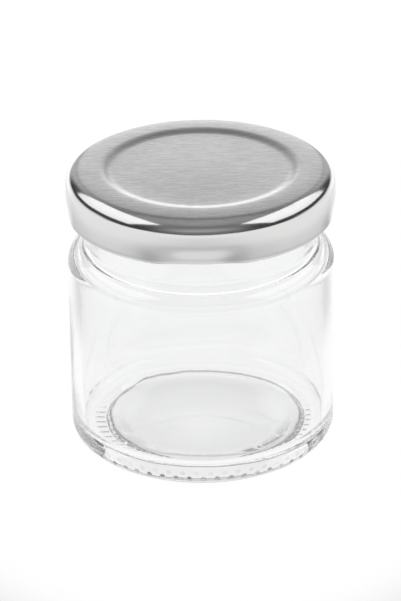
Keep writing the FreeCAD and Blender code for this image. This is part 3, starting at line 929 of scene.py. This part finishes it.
table_material, tree, shader = new_material("white_table")
place = add(tree, "ShaderNodeTexCoord").outputs["Object"]
stretch = add(tree, "ShaderNodeVectorMath", operation="MULTIPLY")
tree.links.new(place, stretch.inputs[0])
stretch.inputs[1].default_value = SIDE_STRETCH
from_jar, from_jar_wide = (add(tree, "ShaderNodeVectorMath", operation="LENGTH") for count in range(2))
tree.links.new(place, from_jar.inputs[0])
tree.links.new(stretch.outputs["Vector"], from_jar_wide.inputs[0])
split = add(tree, "ShaderNodeSeparateXYZ")
tree.links.new(place, split.inputs["Vector"])
backward = calc(tree, "DIVIDE", split.outputs["Y"], from_jar.outputs["Value"])
behind = remap(tree, backward, *BACK_WEDGE, 0, 1)
front = grey_ramp(tree, from_jar_wide.outputs["Value"], FRONT_TABLE)
back = grey_ramp(tree, from_jar.outputs["Value"], BACK_TABLE)
shader.inputs["Base Color"].default_value = (0, 0, 0, 1)
shader.inputs["Roughness"].default_value = 1.0
shader.inputs["Specular IOR Level"].default_value = 0.0
shader.inputs["Emission Strength"].default_value = 1.0
tree.links.new(tint(tree, behind, front, back), shader.inputs["Emission Color"])
table_mesh.materials.append(table_material)
print("table uses", len(tree.nodes), "nodes")

# %% [markdown]
# ## The studio
# Bright metal shows the room and not itself, so the room matters more than the lamps. It is read off the
# lid of the photographed jar: a bright wall low down behind the table, grey corners, dark sides above a
# bright strip at table height, a dark ceiling that lightens overhead, and a grey front, where the camera
# stands, between two dark near sides. Each wall is a grey scale from the table's height to overhead, and
# each one fades into the next. Two long soft boxes beside the jar give the white crescents on the lid's
# edge.

# %% Room
CEILING = ((0.94, 0.35), (1.0, 0.39))
BACK_STOPS = (
    (0.0, 1.5), (0.12, 1.22), (0.28, 0.95), (0.39, 0.77), (0.48, 0.56), (0.62, 0.36), (0.8, 0.24),
) + CEILING
CORNER_STOPS = ((0.0, 0.55), (0.3, 0.54), (0.48, 0.47), (0.62, 0.33), (0.8, 0.24)) + CEILING
SIDE_STOPS = (
    (0.0, 0.95), (0.05, 0.9), (0.09, 0.05), (0.3, 0.06), (0.48, 0.12), (0.65, 0.22), (0.8, 0.22),
) + CEILING
NEAR_SIDE_STOPS = ((0.0, 0.05), (0.3, 0.06), (0.48, 0.1), (0.65, 0.22), (0.8, 0.22)) + CEILING
FRONT_STOPS = ((0.0, 0.14), (0.25, 0.24), (0.45, 0.5), (0.65, 0.5), (0.8, 0.3)) + CEILING
CORNER_FADE = (0.06, 0.22)
SIDE_FADE = (0.38, 0.6)
NEAR_SIDE_FADE = (0.25, -0.35)
FRONT_FADE = (-0.6, -0.95)

world = bpy.data.worlds.new("studio")
bpy.context.scene.world = world
world.use_nodes = True
tree = world.node_tree
split = add(tree, "ShaderNodeSeparateXYZ")
tree.links.new(add(tree, "ShaderNodeTexCoord").outputs["Generated"], split.inputs["Vector"])
sideways = calc(tree, "ABSOLUTE", split.outputs["X"])
colour = grey_ramp(tree, split.outputs["Z"], BACK_STOPS)
for along, fade, stops in (
    (sideways, CORNER_FADE, CORNER_STOPS),
    (sideways, SIDE_FADE, SIDE_STOPS),
    (split.outputs["Y"], NEAR_SIDE_FADE, NEAR_SIDE_STOPS),
    (split.outputs["Y"], FRONT_FADE, FRONT_STOPS),
):
    wall = grey_ramp(tree, split.outputs["Z"], stops)
    colour = tint(tree, remap(tree, along, *fade, 0, 1), colour, wall)
tree.links.new(colour, tree.nodes["Background"].inputs["Color"])
print("room uses", len(tree.nodes), "nodes")

# %% Soft boxes
BOX_PLACE = (0.627, 0.1, 0.571)
BOX_WIDTH = 1.1
BOX_HEIGHT = 0.62
BOX_POWER = 2.41
BOX_AIM = Vector((0, 0.1, 0.04))

for side in (-1, 1):
    light = bpy.data.lights.new("soft_box", "AREA")
    light.shape = "RECTANGLE"
    light.size = BOX_WIDTH
    light.size_y = BOX_HEIGHT
    light.energy = BOX_POWER
    lamp = bpy.data.objects.new("soft_box", light)
    lamp.location = (side * BOX_PLACE[0], BOX_PLACE[1], BOX_PLACE[2])
    lamp.rotation_euler = (BOX_AIM - lamp.location).to_track_quat("-Z", "Y").to_euler()
    bpy.context.scene.collection.objects.link(lamp)
print("soft boxes stand", BOX_PLACE[0], "m to each side")

# %% [markdown]
# ## The camera
# The place of the camera follows from the jar's outlines: the ellipses of the lid and base give its height,
# and their slight change in shape its distance. A long lens from about 0.6 m fits both. Light must pass
# many faces of the glass, so the bounces are raised, or guided light in the wall would end as black
# patches.

# %% Camera
LENS = 205.7
EYE = Vector((-0.00019, -0.5365, 0.28605))
AIM = Vector((-0.00019, 0, 0.0249))
ROLL = -0.62
NEAREST = 0.01
GLASS_BOUNCES = 96

camera_data = bpy.data.cameras.new("camera")
camera = bpy.data.objects.new("camera", camera_data)
bpy.context.scene.collection.objects.link(camera)
camera_data.lens = LENS
camera_data.clip_start = NEAREST
look = (AIM - EYE).to_track_quat("-Z", "Y").to_matrix().to_4x4()
camera.matrix_world = Matrix.Translation(EYE) @ look @ Matrix.Rotation(math.radians(ROLL), 4, "Z")
bpy.context.scene.camera = camera
bpy.context.scene.view_settings.view_transform = "Standard"
for limit in ("max_bounces", "transmission_bounces", "glossy_bounces"):
    setattr(bpy.context.scene.cycles, limit, GLASS_BOUNCES)
print("camera is", round((AIM - EYE).length, 3), "m away")
